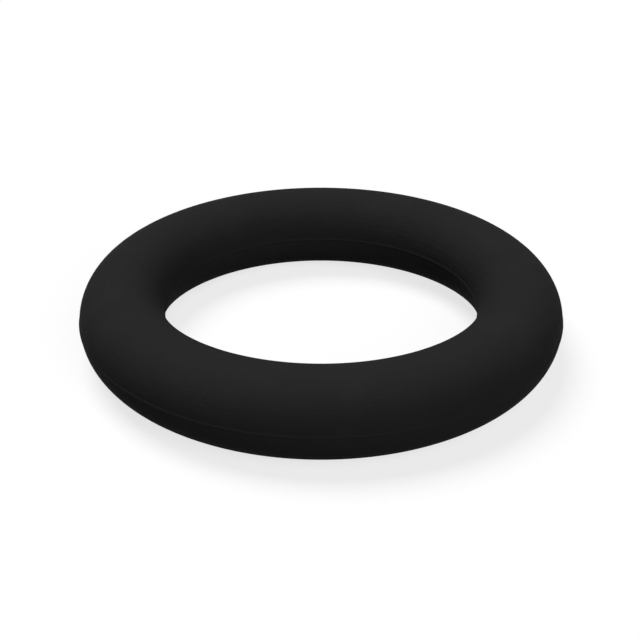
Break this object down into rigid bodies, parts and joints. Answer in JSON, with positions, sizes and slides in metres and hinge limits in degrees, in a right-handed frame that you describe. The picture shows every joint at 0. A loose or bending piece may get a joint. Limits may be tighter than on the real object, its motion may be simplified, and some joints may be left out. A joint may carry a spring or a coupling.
{
  "type": "rubber o-ring",
  "caption": "Black moulded rubber sealing ring: a round cord section turned into a closed circle, with a fine trimmed parting line inside and out.",
  "frame": {"origin": "centre of the ring, on its axis and in the mould's parting plane", "axes": "+Z along the ring's axis; the ring lies in the XY plane and is the same all round"},
  "size_m": [0.023, 0.023, 0.004],
  "materials": {
    "black_rubber": "matt black, as moulded, with a fine satin skin"
  },
  "bodies": {
    "root": {"o_ring": "black_rubber"}
  },
  "joints": []
}
